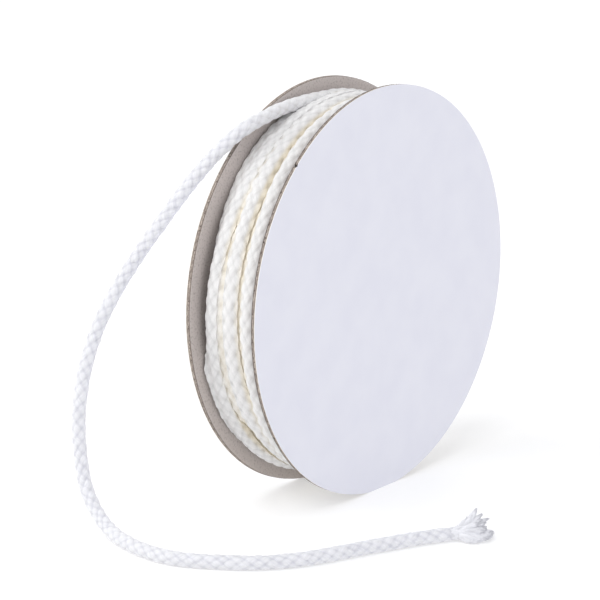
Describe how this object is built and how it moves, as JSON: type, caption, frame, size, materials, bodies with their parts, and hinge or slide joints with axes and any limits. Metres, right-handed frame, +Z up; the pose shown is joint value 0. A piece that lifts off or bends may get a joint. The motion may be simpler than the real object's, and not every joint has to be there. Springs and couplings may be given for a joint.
{
  "type": "roll of drawstring cord",
  "caption": "Roll of white plaited drawstring cord on a reel of two lined board discs, standing on its rims, with its loose end arching over one rim and lying on the floor to a frayed tip.",
  "frame": {"origin": "on the floor under the middle of the reel, which stands on the flat spot of its two rims", "axes": "+X along the reel's axis towards the right disc, -Y the side the loose end leaves from, +Z up"},
  "size_m": [0.1164, 0.1642, 0.1296],
  "materials": {
    "reel_board": "grey-brown board with a smooth white paper liner outside",
    "cord": "soft white plaited yarn, matt and slightly fuzzy"
  },
  "bodies": {
    "root": {"disc_left": "reel_board", "disc_right": "reel_board", "wound_cord": "cord", "loose_end": "cord", "frayed_end": "cord"}
  },
  "joints": []
}
